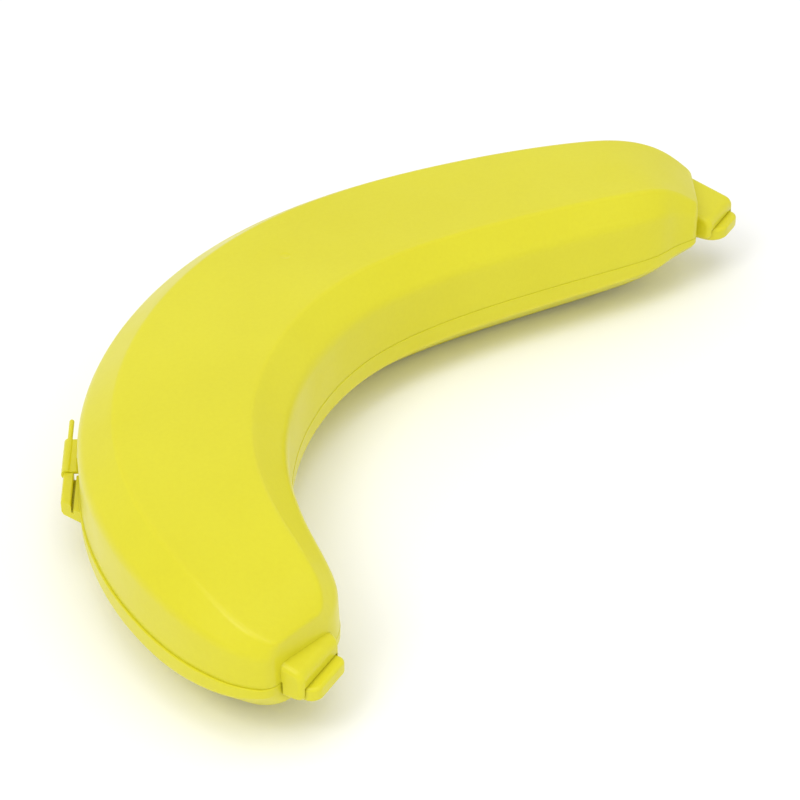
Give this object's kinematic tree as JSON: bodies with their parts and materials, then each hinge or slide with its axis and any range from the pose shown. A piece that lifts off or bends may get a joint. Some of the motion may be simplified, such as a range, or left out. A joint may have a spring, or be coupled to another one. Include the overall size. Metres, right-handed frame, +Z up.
{
  "type": "banana carrying case",
  "caption": "Banana-shaped hard carrying case: two thin half shells on a side pin hinge, closed by a push-on tab at each end.",
  "frame": {"origin": "centre of the footprint, on the flat underside of the lower shell", "axes": "+X across the bend from the blossom tip towards the stem; +Z up; the hinge pin runs 2.7 degrees off X; the hinge is at +Y and the hollow of the bend faces -Y"},
  "size_m": [0.2084, 0.1679, 0.0365],
  "materials": {
    "shell_yellow": "satin lemon-yellow polypropylene"
  },
  "bodies": {
    "case_base": {"lower_shell": "shell_yellow", "tip_latch_tongue": "shell_yellow", "stem_latch_tongue": "shell_yellow", "hinge_bracket": "shell_yellow", "hinge_pin": "shell_yellow"},
    "case_lid": {"upper_shell": "shell_yellow", "tip_latch_hood": "shell_yellow", "stem_latch_hood": "shell_yellow", "hinge_clip": "shell_yellow"}
  },
  "joints": [
    {"name": "lid_hinge", "type": "hinge", "parent": "case_base", "child": "case_lid", "pos_m": [-0.01747, 0.08248, 0.0165], "axis": [-0.9989, -0.0471, 0], "range_deg": [0, 165]}
  ]
}
